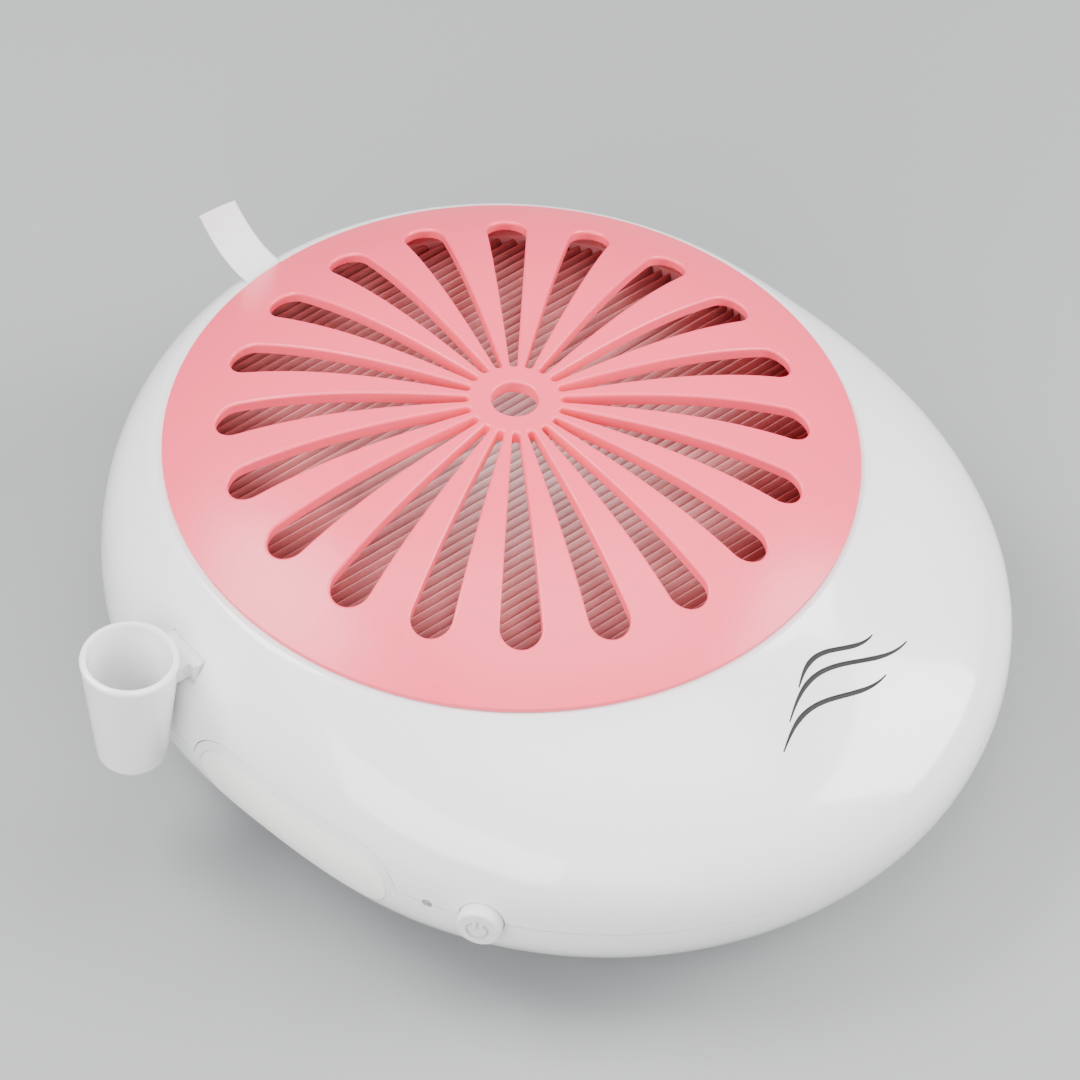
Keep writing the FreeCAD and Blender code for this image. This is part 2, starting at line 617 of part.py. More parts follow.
def pull_ribbon():
    """A flat strip up the frame's outside, over the collar under the grille's flange, and out at the back."""
    skin, width = size("ribbon_skin"), size("ribbon_width")
    wall, shelf = size("filter_radius") + skin / 2, size("collar_height") + 0.02 + skin / 2
    reach, rise = size("ribbon_reach"), size("ribbon_rise")
    line = [(wall, 70.0), (wall, 80.6), (wall + 0.45, 82.2), (wall + 1.5, 83.3), (wall + 2.9, shelf),
            (106.4, shelf), (110.5, shelf + 0.75), (114.5, shelf + 2.2), (119.0, shelf + 5.0),
            (reach - 3.2, rise - 3.8), (reach, rise)]
    sides = []
    for side in (1, -1):
        row = []
        for index, (y, z) in enumerate(line):
            before, after = line[max(index - 1, 0)], line[min(index + 1, len(line) - 1)]
            run = V(0, after[0] - before[0], after[1] - before[1]).normalize()
            row.append(V(-width / 2, y - side * run.z * skin / 2, z + side * run.y * skin / 2))
        sides.append(row)
    corners = sides[0] + sides[1][::-1]
    return formed("pull_ribbon", Part.Face(Part.makePolygon(corners + corners[:1])).extrude(V(width, 0, 0)))


# ---------------------------------------------------------------- grille
def dome_height(radius):
    """Height of the grille's face at a radius."""
    return size("grille_edge") + size("grille_rise") * (1 - (radius / size("grille_radius")) ** size("dome_power"))


def skin_depth(radius):
    """Depth of the grille's wall below its face: thickest at the hub."""
    return size("grille_skin") - size("grille_skin_loss") * (radius / size("grille_radius")) ** 2


def dome_curve(end, under):
    """The dome's face from its centre to a radius, or the surface under it."""
    steps = 10
    points = []
    for step in range(steps + 1):
        radius = end * step / steps
        points.append(V(radius, 0, dome_height(radius) - (skin_depth(radius) if under else 0)))
    curve = Part.BSplineCurve()
    curve.interpolate(Points=points)
    return curve.toShape()


def grille_dome():
    outer, flange = size("grille_radius"), size("flange_bottom")
    skirt, foot = size("skirt_radius"), size("skirt_bottom")
    inside = skirt - size("skirt_wall")
    corners = [V(outer, 0, dome_height(outer)), V(outer, 0, flange), V(skirt, 0, flange), V(skirt, 0, foot),
               V(inside, 0, foot), V(inside, 0, dome_height(inside) - skin_depth(inside))]
    edges = [dome_curve(outer, False)]
    edges += [Part.LineSegment(start, end).toShape() for start, end in zip(corners, corners[1:])]
    edges.append(dome_curve(inside, True))
    edges.append(Part.LineSegment(V(0, 0, dome_height(0) - skin_depth(0)), V(0, 0, dome_height(0))).toShape())
    profile = Part.Face(Part.Wire(Part.__sortEdges__(edges)))
    return formed("grille_dome", profile.revolve(V(0, 0, 0), Z_AXIS, 360))


def grille_slot():
    """One slot along X: round outer end, straight sides that narrow to a small round inner end."""
    far, wide = size("slot_far"), size("slot_far_radius")
    near, narrow = size("slot_near"), size("slot_near_radius")
    lean = math.asin((wide - narrow) / (far - near))
    across, along = math.cos(lean), -math.sin(lean)
    low = 80.0
    right_far, left_far = [V(far + wide * along, side * wide * across, low) for side in (-1, 1)]
    right_near, left_near = [V(near + narrow * along, side * narrow * across, low) for side in (-1, 1)]
    edges = [Part.LineSegment(right_near, right_far), Part.Arc(right_far, V(far + wide, 0, low), left_far),
             Part.LineSegment(left_far, left_near), Part.Arc(left_near, V(near - narrow, 0, low), right_near)]
    return Part.Face(Part.Wire([edge.toShape() for edge in edges])).extrude(V(0, 0, 40))


def grille():
    count = int(size("slot_count"))
    slot = grille_slot()
    cutters = []
    for index in range(count):
        turn = FreeCAD.Rotation(Z_AXIS, size("slot_phase") + 360 / count * index)
        cutter = formed("slot_%d" % index, slot)
        cutter.Placement = FreeCAD.Placement(V(0, 0, 0), turn)
        cutters.append(cutter)
    cutters.append(post("hub_hole", "hub_hole_radius", "80", "120"))
    notch = box("ribbon_notch", "ribbon_width + 4", "10", "flange_bottom - skirt_bottom + 1",
                ("0", "skirt_radius - 1", "skirt_bottom - 1"))
    sharp = cut("grille_sharp", grille_dome(), *(cutters + [notch]))
    doc.recompute()
    soft = doc.addObject("Part::Fillet", "grille")
    soft.Base = sharp
    rounding = size("slot_rounding")
    soft.Edges = [(index, rounding, rounding) for index, edge in enumerate(sharp.Shape.Edges, start=1)
                  if on_dome(edge)]
    return soft


def on_dome(edge):
    """Whether an edge lies on the dome's face inside its rim, where the slots and hub hole break it."""
    reach = size("grille_radius") - 10
    for point in edge.discretize(5):
        radius = math.hypot(point.x, point.y)
        if radius > reach or abs(point.z - dome_height(radius)) > 0.05:
            return False
    return True


# ---------------------------------------------------------------- tool cup
def cup_holder():
    base, top = "cup_top - cup_tall", "cup_top"
    outside = turned("cup_outside", [
        ("0", base), ("cup_base_radius - 1.7", base), ("cup_base_radius - 0.5", base + " + 0.5"),
        ("cup_base_radius", base + " + 1.7"), ("cup_top_radius", top + " - 1.1"),
        ("cup_top_radius - 0.3", top + " - 0.35"), ("cup_top_radius - 1", top), ("0", top)])
    hollow = turned("cup_hollow", [
        ("0", base + " + 2.4"), ("cup_base_radius - cup_skin - 1", base + " + 2.4"),
        ("cup_base_radius - cup_skin", base + " + 3.4"), ("cup_top_radius - cup_skin", top + " - 0.8"),
        ("cup_top_radius - cup_skin + 0.4", top), ("cup_top_radius - cup_skin + 0.4", top + " + 1"),
        ("0", top + " + 1")])
    for item in (outside, hollow):
        place(item, ("cup_reach", "0", "0"))
    plug = radial_box("cup_plug", "block_root", "block_face", "block_width", "block_bottom", "block_top")
    plate = doc.addObject("Part::Chamfer", "cup_plate")
    plate.Base = plug
    doc.recompute()
    face_edges = [index for index, edge in enumerate(plug.Shape.Edges, start=1)
                  if min(vertex.X for vertex in edge.Vertexes) > size("block_face") - 0.01]
    plate.Edges = [(index, 0.9, 0.9) for index in face_edges]
    neck = radial_box("cup_neck", "block_face - 2", "cup_reach - 10", "block_width - 5.3", "block_bottom + 0.9",
                      "block_top - 0.9")
    body = cut("cup_body", fuse("cup_solid", outside, plate, neck), hollow)
    return spun("cup_holder", body, size("cup_angle"))


# ---------------------------------------------------------------- power button, switch and indicator
def power_button():
    cap = turned("power_button", [
        ("0", "button_proud - 2"), ("button_radius - 1.2", "button_proud - 2"), ("button_radius - 1.2", "-5.4"),
        ("button_radius + 0.8", "-5.4"), ("button_radius + 0.8", "-4.2"), ("button_radius", "-4.2"),
        ("button_radius", "button_proud - 0.9"), ("button_radius - 0.25", "button_proud - 0.3"),
        ("button_radius - 0.9", "button_proud"), ("0", "button_proud")])
    cap.Placement = flank_place(size("button_angle"), size("parting_height"))
    return cap


def switch_plunger():
    stem = doc.addObject("Part::Cylinder", "switch_plunger")
    stem.Radius = 2.2
    stem.setExpression("Height", bound("button_proud - 2 + 9.5"))
    stem.Placement = flank_place(size("button_angle"), size("parting_height"), 9.5)
    return stem


def button_spring():
    coil, wire, turns, per_turn = 3.5, 0.3, 4, 12
    start, end = -7.0 + wire, size("button_proud") - 2 - wire
    steps = turns * per_turn
    points = [V(coil * math.cos(2 * math.pi * step / per_turn), coil * math.sin(2 * math.pi * step / per_turn),
                start + (end - start) * step / steps) for step in range(steps + 1)]
    path = Part.BSplineCurve()
    path.interpolate(Points=points)
    edge = path.toShape()
    section = Part.Wire([Part.Circle(points[0], edge.tangentAt(edge.FirstParameter), wire).toShape()])
    spring = formed("button_spring", Part.Wire([edge]).makePipeShell([section], True, False))
    spring.Placement = flank_place(size("button_angle"), size("parting_height"))
    return spring


def spun_to_flank(name, item):
    """An object carried from the upright axis to the button's level axis."""
    holder = doc.addObject("Part::Compound", name)
    holder.Links = [item]
    holder.Placement = flank_place(size("button_angle"), size("parting_height"))
    return holder


def switch_body():
    block = box("switch_block", "12", "12", "10", ("0", "0", "-17"))
    bore = post("switch_bore", "2.25", "-12", "-6")
    body = cut("switch_body", block, bore)
    body.Placement = flank_place(size("button_angle"), size("parting_height"))
    return body


def switch_board():
    board = box("switch_board_blank", "15", "30", "board_thick", ("0", "-5", "-17 - board_thick"))
    return spun_to_flank("switch_board", board)


def indicator_lamp():
    lamp = turned("indicator_lamp", [
        ("0", "-7"), ("indicator_radius + 0.4", "-7"), ("indicator_radius + 0.4", "-5.6"),
        ("indicator_radius", "-5.6"), ("indicator_radius", "-0.9"), ("indicator_radius * 0.87", "-0.4"),
        ("indicator_radius * 0.5", "-0.05"), ("0", "0.1")])
    lamp.Placement = flank_place(size("indicator_angle"), size("parting_height"))
    return lamp


# ---------------------------------------------------------------- light
def light_frame():
    outer = box("light_frame_outer", "4", "2 * glass_half - 5", "2 * glass_round - 4",
                ("-115", "window_y", "window_z - glass_round + 2"))
    inner = box("light_frame_inner", "8", "2 * glass_half - 9", "2 * glass_round - 8",
                ("-116", "window_y", "window_z - glass_round + 4"))
    return cut("light_frame", outer, inner)


def light_board():
    return box("light_board", "board_thick", "2 * glass_half - 5", "2 * glass_round - 4",
               ("-113 + board_thick / 2", "window_y", "window_z - glass_round + 2"))


def light_chips():
    rows, columns, pitch = 2, 10, 6.0
    chips = []
    for row in range(rows):
        for column in range(columns):
            y = (column - (columns - 1) / 2) * pitch
            chips.append(box("light_chip_%d_%d" % (row, column), "1.2", "3.5", "2.8",
                             ("-113.6", "window_y + %.2f" % y, "window_z + %.2f" % (row * 6.0 - 4.4))))
    return group("light_chips", *chips)


# ---------------------------------------------------------------- inlet and electronics
def dc_jack():
    jack = turned("dc_jack", [
        ("0", "-jack_sink"), ("jack_pin", "-jack_sink - 0.3"), ("jack_pin", "-12"), ("jack_bore", "-12"),
        ("jack_bore", "-jack_sink + 1"), ("jack_radius + 2", "-jack_sink + 1"), ("jack_radius + 2", "-jack_sink"),
        ("jack_radius", "-jack_sink"), ("jack_radius", "-14"), ("0", "-14")])
    jack.Placement = flank_place(size("jack_angle"), size("jack_height"))
    return jack


def jack_nut():
    nut = ring("jack_nut", "jack_radius + 0.05", "jack_radius + 2.3", "-jack_sink - jack_floor - 2",
               "-jack_sink - jack_floor")
    nut.Placement = flank_place(size("jack_angle"), size("jack_height"))
    return nut


def control_board():
    board = box("board_blank", "board_long", "board_wide", "board_thick", ("board_x", "board_y", "board_z"))
    holes = [post("board_hole_%d" % index, "1.4", "board_z - 1", "board_z + board_thick + 1",
                  board_corner(side, end)) for index, (side, end) in enumerate(BOARD_CORNERS)]
    return cut("control_board", board, *holes)


def board_screws():
    return group("board_screws", *[
        flipped_screw("board_screw_%d" % index, "2.4", "1.2", "5.8",
                      board_corner(side, end) + ("board_z + board_thick",))
        for index, (side, end) in enumerate(BOARD_CORNERS)])


def board_components():
    top = "board_z + board_thick"
    parts = [box("plug_light", "6", "8", "6", ("board_x - board_long / 2 + 3", "board_y", top)),
             box("plug_power", "6", "8", "6", ("board_x + board_long / 2 - 3", "board_y", top)),
             box("chip_driver", "9", "6", "1.6", ("board_x - 8", "board_y + 3", top)),
             box("heat_sink", "10", "3", "12", ("board_x + 14", "board_y + 10", top))]
    for index, (x, y) in enumerate(((2, -7), (10, -7), (-16, -8))):
        parts.append(post("capacitor_%d" % index, "3.1", top, top + " + 9",
                          ("board_x + %d" % x, "board_y + %d" % y)))
    return group("board_components", *parts)


def tube_along(name, points, radius):
    """A lead of one thickness whose route is straight runs joined by the largest tangent arcs that fit."""
    route = [V(*point) for point in points]
    edges, start = [], route[0]
    for before, corner, after in zip(route, route[1:], route[2:]):
        back, ahead = (before - corner), (after - corner)
        turn = math.pi - back.getAngle(ahead)
        trim = 0.45 * min(back.Length, ahead.Length)
        bend = trim / math.tan(turn / 2)
        back.normalize()
        ahead.normalize()
        first, last = corner + back * trim, corner + ahead * trim
        centre = corner + (back + ahead).normalize() * math.hypot(trim, bend)
        middle = centre + (corner - centre).normalize() * bend
        edges.append(Part.LineSegment(start, first).toShape())
        edges.append(Part.Arc(first, middle, last).toShape())
        start = last
    edges.append(Part.LineSegment(start, route[-1]).toShape())
    path = Part.Wire(edges)
    section = Part.Wire([Part.Circle(route[0], route[1] - route[0], radius).toShape()])
    return formed(name, path.makePipeShell([section], True, False))


def light_lead():
    return tube_along("light_lead", [(-110.8, -42.0, 36.0), (-103.0, -44.0, 35.0), (-94.0, -52.0, 30.0),
                                     (-86.0, -66.0, 24.0), (-79.0, -80.0, 19.5), (-70.0, -90.0, 17.3),
                                     (-60.8, -92.0, 16.6)], 1.2)


def jack_lead():
    jack = flank_place(size("jack_angle"), size("jack_height"))
    rear = jack.multVec(V(0, 0, -14.0))
    inside = jack.multVec(V(0, 0, -22.0))
    return tube_along("jack_lead", [tuple(rear), tuple(inside), (52.0, 76.0, 29.0), (72.0, 58.0, 24.0),
                                    (88.0, 30.0, 19.0), (95.0, -6.0, 16.0), (88.0, -44.0, 15.0),
                                    (66.0, -76.0, 15.5), (34.0, -93.0, 16.4), (0.8, -92.0, 16.6)], 1.4)


# ---------------------------------------------------------------- build, check and write
def build():
    pebble = formed("housing_form", housing_solid(0.0))
    hollow = formed("housing_hollow", housing_solid(size("wall")))
    pieces = [upper_shell(pebble, hollow), lower_shell(pebble, hollow), window_lens(pebble, hollow), rubber_feet(),
              case_screws(), filter_tray(), tray_screws(), fan_guard(), fan_scroll(), fan_cover(), fan_screws(),
              motor_can(), motor_screws(), motor_bearings(), motor_stator(), motor_magnet(), motor_shaft(),
              impeller(), impeller_nut(), filter_frame(), filter_media(), filter_gasket(), pull_ribbon(),
              grille(), cup_holder(), power_button(), switch_plunger(), button_spring(), switch_body(),
              switch_board(), indicator_lamp(), light_frame(), light_board(), light_chips(), dc_jack(),
              jack_nut(), control_board(), board_screws(), board_components(), light_lead(), jack_lead()]
    doc.recompute()
    failed = [item.Name for item in doc.Objects if "Invalid" in item.State or "Error" in item.State]
    failed += [item.Name for item in pieces if item.Shape.isNull() or not item.Shape.isValid()
               or not item.Shape.Solids]
    if failed:
        raise RuntimeError("these objects failed: " + ", ".join(failed))
    os.makedirs("parts", exist_ok=True)
    for item in pieces:
        item.Label = item.Name
        item.Shape.exportStep("parts/%s.step" % item.Name)
        print("%-18s %2d solids %12.1f mm3" % (item.Name, len(item.Shape.Solids), item.Shape.Volume))


build()
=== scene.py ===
"""Looks of the nail dust collector: studio, camera, materials, pleated filter, ribbon and small details."""
import json
import math

import bpy
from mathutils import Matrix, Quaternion, Vector
from mathutils.bvhtree import BVHTree

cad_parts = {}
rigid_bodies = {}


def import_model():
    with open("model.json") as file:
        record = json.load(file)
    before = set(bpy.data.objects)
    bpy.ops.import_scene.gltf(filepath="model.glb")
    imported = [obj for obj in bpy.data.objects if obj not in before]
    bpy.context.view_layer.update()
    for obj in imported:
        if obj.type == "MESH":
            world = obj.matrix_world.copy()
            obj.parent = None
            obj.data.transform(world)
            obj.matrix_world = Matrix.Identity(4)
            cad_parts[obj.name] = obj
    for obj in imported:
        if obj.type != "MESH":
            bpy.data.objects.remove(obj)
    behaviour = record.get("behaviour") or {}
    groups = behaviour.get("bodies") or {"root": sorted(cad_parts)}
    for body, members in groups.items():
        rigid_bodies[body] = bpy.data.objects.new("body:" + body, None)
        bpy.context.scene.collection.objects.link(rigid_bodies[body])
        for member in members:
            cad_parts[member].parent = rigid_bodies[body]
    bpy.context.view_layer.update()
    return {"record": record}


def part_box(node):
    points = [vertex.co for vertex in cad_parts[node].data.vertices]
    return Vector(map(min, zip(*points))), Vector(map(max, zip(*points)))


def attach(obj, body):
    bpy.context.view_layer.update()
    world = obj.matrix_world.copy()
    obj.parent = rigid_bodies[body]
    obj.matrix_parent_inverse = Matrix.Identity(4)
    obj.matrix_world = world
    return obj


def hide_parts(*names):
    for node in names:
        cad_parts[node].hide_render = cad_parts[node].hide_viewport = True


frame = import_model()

MM = 0.001
UP = Vector((0, 0, 1))


# ---------------------------------------------------------------- camera and studio
CAMERA_PLACE = (-0.7426, -0.6525, 1.1049)
CAMERA_LOOK = (0.5167, 0.4448, -0.7316)
CAMERA_ROLL = 3.51
CAMERA_LENS = 157.67
CAMERA_SENSOR = 36.0
CAMERA_REACH = 20.0

SKY_COLOR = (0.80, 0.82, 0.85, 1.0)
SKY_STRENGTH = 0.42
FLOOR_SIZE = 8.0
MACHINE = (0.0, 0.0, 0.05)
FRONT_SLOPE = (0.0, -0.05, 0.05)
SOFTBOXES = {
    # name: place, target, width and height, power
    "key_softbox": ((-0.55, 0.75, 1.30), MACHINE, (0.9, 0.7), 34.0),
    "top_softbox": ((0.20, -0.10, 1.50), MACHINE, (1.0, 1.0), 13.0),
    "front_softbox": ((0.80, -0.80, 0.70), FRONT_SLOPE, (0.7, 0.9), 30.0),
    "left_softbox": ((-1.30, -0.35, 0.80), MACHINE, (1.3, 0.9), 27.0),
    "camera_fill": ((-0.95, -1.10, 1.15), MACHINE, (1.2, 1.2), 8.0),
}


def make_camera():
    camera = bpy.data.objects.new("view_camera", bpy.data.cameras.new("view_camera"))
    bpy.context.collection.objects.link(camera)
    camera.data.sensor_width = CAMERA_SENSOR
    camera.data.lens = CAMERA_LENS
    camera.data.clip_end = CAMERA_REACH
    camera.location = CAMERA_PLACE
    level = Vector(CAMERA_LOOK).to_track_quat("-Z", "Y")
    camera.rotation_mode = "QUATERNION"
    camera.rotation_quaternion = level @ Quaternion(UP, math.radians(CAMERA_ROLL))
    bpy.context.scene.camera = camera


def make_light(name, place, target, size, power):
    lamp = bpy.data.lights.new(name, "AREA")
    lamp.shape = "RECTANGLE"
    lamp.size, lamp.size_y = size
    lamp.energy = power
    item = bpy.data.objects.new(name, lamp)
    bpy.context.collection.objects.link(item)
    item.location = place
    item.rotation_euler = (Vector(target) - Vector(place)).to_track_quat("-Z", "Y").to_euler()


def make_studio():
    world = bpy.data.worlds.new("studio_world")
    bpy.context.scene.world = world
    world.use_nodes = True
    back = world.node_tree.nodes["Background"]
    back.inputs["Color"].default_value = SKY_COLOR
    back.inputs["Strength"].default_value = SKY_STRENGTH
    for name, (place, target, size, power) in SOFTBOXES.items():
        make_light(name, place, target, size, power)
    bpy.ops.mesh.primitive_plane_add(size=FLOOR_SIZE, location=(0, 0, 0))
    floor = bpy.context.object
    floor.name = "studio_floor"
    floor.data.materials.append(floor_material())


# ---------------------------------------------------------------- node helpers
def new_material(name):
    material = bpy.data.materials.new(name)
    material.use_nodes = True
    return material, material.node_tree.nodes, material.node_tree.links


def mapped_noise(nodes, links, scale, detail=2.0, roughness=0.5):
    place = nodes.new("ShaderNodeTexCoord")
    noise = nodes.new("ShaderNodeTexNoise")
    noise.inputs["Scale"].default_value = scale
    noise.inputs["Detail"].default_value = detail
    noise.inputs["Roughness"].default_value = roughness
    links.new(place.outputs["Object"], noise.inputs["Vector"])
    return noise


def banded_wave(nodes, links, place, direction, scale, distortion=0.0):
    """Straight bands across one axis of a UV map."""
    wave = nodes.new("ShaderNodeTexWave")
    wave.wave_type = "BANDS"
    wave.bands_direction = direction
    wave.inputs["Scale"].default_value = scale
    wave.inputs["Distortion"].default_value = distortion
    links.new(place.outputs["UV"], wave.inputs["Vector"])
    return wave


def ramp_between(nodes, links, source, low, high, start=0.3, end=0.7):
    ramp = nodes.new("ShaderNodeValToRGB")
    ramp.color_ramp.elements[0].position = start
    ramp.color_ramp.elements[0].color = (*low, 1.0)
    ramp.color_ramp.elements[1].position = end
    ramp.color_ramp.elements[1].color = (*high, 1.0)
    links.new(source, ramp.inputs["Fac"])
    return ramp


def number_between(nodes, links, source, low, high, start=0.3, end=0.7):
    span = nodes.new("ShaderNodeMapRange")
    span.inputs["From Min"].default_value = start
    span.inputs["From Max"].default_value = end
    span.inputs["To Min"].default_value = low
    span.inputs["To Max"].default_value = high
    links.new(source, span.inputs["Value"])
    return span


def bump_from(nodes, links, source, strength, distance, chain=None):
    bump = nodes.new("ShaderNodeBump")
    bump.inputs["Strength"].default_value = strength
    bump.inputs["Distance"].default_value = distance
    links.new(source, bump.inputs["Height"])
    if chain is not None:
        links.new(chain.outputs["Normal"], bump.inputs["Normal"])
    return bump


def darkened(color, share):
    return tuple(channel * share for channel in color)


# ---------------------------------------------------------------- materials
SHADE_SCALE = 9.0
POLISH_SCALE = 60.0
RIPPLE_SCALE = 45.0
RIPPLE_DEPTH = 0.00006
PLASTIC_IOR = 1.5
COAT_ROUGHNESS = 0.06
SCATTER_REACH = 0.004


def moulded(name, color, shade=0.94, rough=(0.20, 0.30), grain=1400.0, grain_depth=0.00002, coat=0.0,
            scatter=0.0, scatter_color=(1.0, 1.0, 1.0)):
    """Moulded plastic: slow changes of shade, uneven polish, slight ripples and a fine skin."""
    material, nodes, links = new_material(name)
    shader = nodes["Principled BSDF"]
    slow = mapped_noise(nodes, links, SHADE_SCALE, 3.0)
    tint = ramp_between(nodes, links, slow.outputs["Fac"], darkened(color, shade), color)
    links.new(tint.outputs["Color"], shader.inputs["Base Color"])
    polish = mapped_noise(nodes, links, POLISH_SCALE, 4.0)
    span = number_between(nodes, links, polish.outputs["Fac"], *rough)
    links.new(span.outputs["Result"], shader.inputs["Roughness"])
    ripple = mapped_noise(nodes, links, RIPPLE_SCALE, 2.0)
    first = bump_from(nodes, links, ripple.outputs["Fac"], 0.25, RIPPLE_DEPTH)
    skin = mapped_noise(nodes, links, grain, 2.0)
    second = bump_from(nodes, links, skin.outputs["Fac"], 0.3, grain_depth, first)
    links.new(second.outputs["Normal"], shader.inputs["Normal"])
    shader.inputs["IOR"].default_value = PLASTIC_IOR
    shader.inputs["Coat Weight"].default_value = coat
    shader.inputs["Coat Roughness"].default_value = COAT_ROUGHNESS
    if scatter:
        shader.inputs["Subsurface Weight"].default_value = scatter
        shader.inputs["Subsurface Radius"].default_value = scatter_color
        shader.inputs["Subsurface Scale"].default_value = SCATTER_REACH
    return material


def metal(name, color, rough=(0.22, 0.40), stretch=(1.0, 1.0, 18.0)):
    """Drawn or turned metal with fine lines and uneven polish."""
    material, nodes, links = new_material(name)
    shader = nodes["Principled BSDF"]
    shader.inputs["Metallic"].default_value = 1.0
    place = nodes.new("ShaderNodeTexCoord")
    scale = nodes.new("ShaderNodeMapping")
    scale.inputs["Scale"].default_value = stretch
    lines = nodes.new("ShaderNodeTexNoise")
    lines.inputs["Scale"].default_value = 160.0
    lines.inputs["Detail"].default_value = 4.0
    links.new(place.outputs["Object"], scale.inputs["Vector"])
    links.new(scale.outputs["Vector"], lines.inputs["Vector"])
    tint = ramp_between(nodes, links, lines.outputs["Fac"], darkened(color, 0.72), color)
    links.new(tint.outputs["Color"], shader.inputs["Base Color"])
    span = number_between(nodes, links, lines.outputs["Fac"], *rough)
    links.new(span.outputs["Result"], shader.inputs["Roughness"])
    bump = bump_from(nodes, links, lines.outputs["Fac"], 0.25, 0.00003)
    links.new(bump.outputs["Normal"], shader.inputs["Normal"])
    return material


def floor_material():
    """Pale studio paper, hardly varied."""
    material, nodes, links = new_material("studio_paper")
    shader = nodes["Principled BSDF"]
    slow = mapped_noise(nodes, links, 2.0, 2.0)
    tint = ramp_between(nodes, links, slow.outputs["Fac"], (0.28, 0.284, 0.288), (0.31, 0.314, 0.318))
    links.new(tint.outputs["Color"], shader.inputs["Base Color"])
    shader.inputs["Roughness"].default_value = 0.65
    return material


def clear_lamp():
    """The indicator's cloudy, partly clear lens."""
    material, nodes, links = new_material("indicator_lens")
    shader = nodes["Principled BSDF"]
    cloud = mapped_noise(nodes, links, 900.0, 2.0)
    tint = ramp_between(nodes, links, cloud.outputs["Fac"], (0.30, 0.29, 0.28), (0.52, 0.51, 0.49))
    links.new(tint.outputs["Color"], shader.inputs["Base Color"])
    span = number_between(nodes, links, cloud.outputs["Fac"], 0.10, 0.20)
    links.new(span.outputs["Result"], shader.inputs["Roughness"])
    shader.inputs["Transmission Weight"].default_value = 0.35
    shader.inputs["IOR"].default_value = PLASTIC_IOR
    return material


# the felt's own pale pink in the middle, then painted shade: darker, deeper pink towards the frame, under the
# low edge of the grille's dome
FELT_MIDDLE = (0.90, 0.62, 0.62)
FELT_HALFWAY_SHADE = (0.86, 0.37, 0.38)
FELT_RIM_SHADE = (0.62, 0.16, 0.17)
FELT_SHADE_START, FELT_SHADE_END = 0.015, 0.092
BLOTCH_DARK, FIBRE_DARK = 0.88, 0.78


def filter_cloth():
    """Pressed polyester felt: fibres, faint blotches, a slight sheen, and painted shade that turns it darker
    and deeper pink towards the frame, under the low edge of the grille's dome.
    """
    material, nodes, links = new_material("filter_felt")
    shader = nodes["Principled BSDF"]
    fibre = mapped_noise(nodes, links, 2600.0, 5.0, 0.7)
    blotch = mapped_noise(nodes, links, 120.0, 3.0)
    place = nodes.new("ShaderNodeTexCoord")
    flat = nodes.new("ShaderNodeVectorMath")
    flat.operation = "MULTIPLY"
    flat.inputs[1].default_value = (1.0, 1.0, 0.0)
    reach = nodes.new("ShaderNodeVectorMath")
    reach.operation = "LENGTH"
    links.new(place.outputs["Object"], flat.inputs[0])
    links.new(flat.outputs["Vector"], reach.inputs[0])
    # painted shade: the colour darkens to a deeper pink from the middle towards the frame
    share = number_between(nodes, links, reach.outputs["Value"], 0.0, 1.0, FELT_SHADE_START, FELT_SHADE_END)
    tint = ramp_between(nodes, links, share.outputs["Result"], FELT_MIDDLE, FELT_RIM_SHADE, 0.0, 1.0)
    tint.color_ramp.elements.new(0.6).color = (*FELT_HALFWAY_SHADE, 1.0)
    color = tint.outputs["Color"]
    for source, dark in ((blotch, BLOTCH_DARK), (fibre, FIBRE_DARK)):
        fleck = ramp_between(nodes, links, source.outputs["Fac"], (dark, dark, dark), (1.0, 1.0, 1.0))
        mix = nodes.new("ShaderNodeMix")
        mix.data_type = "RGBA"
        mix.blend_type = "MULTIPLY"
        mix.inputs[0].default_value = 1.0
        links.new(color, mix.inputs[6])
        links.new(fleck.outputs["Color"], mix.inputs[7])
        color = mix.outputs[2]
    links.new(color, shader.inputs["Base Color"])
    span = number_between(nodes, links, fibre.outputs["Fac"], 0.75, 0.95)
    links.new(span.outputs["Result"], shader.inputs["Roughness"])
    shader.inputs["Sheen Weight"].default_value = 0.05
    shader.inputs["Sheen Roughness"].default_value = 0.5
    bump = bump_from(nodes, links, fibre.outputs["Fac"], 0.6, 0.00012)
    links.new(bump.outputs["Normal"], shader.inputs["Normal"])
    return material


def woven_tape():
    """White grosgrain: fine ribs straight across the tape, crossed by its warp."""
    material, nodes, links = new_material("woven_tape")
    shader = nodes["Principled BSDF"]
    place = nodes.new("ShaderNodeUVMap")
    ribs = banded_wave(nodes, links, place, "Y", 420.0, 0.3)
    warp = banded_wave(nodes, links, place, "X", 1100.0)
    tint = ramp_between(nodes, links, ribs.outputs["Fac"], (0.70, 0.70, 0.72), (0.90, 0.90, 0.91), 0.1, 0.8)
    links.new(tint.outputs["Color"], shader.inputs["Base Color"])
    shader.inputs["Roughness"].default_value = 0.55
    shader.inputs["Sheen Weight"].default_value = 0.4
    shader.inputs["Sheen Roughness"].default_value = 0.4
    first = bump_from(nodes, links, ribs.outputs["Fac"], 0.7, 0.00018)
    second = bump_from(nodes, links, warp.outputs["Fac"], 0.4, 0.00006, first)
    links.new(second.outputs["Normal"], shader.inputs["Normal"])
    return material


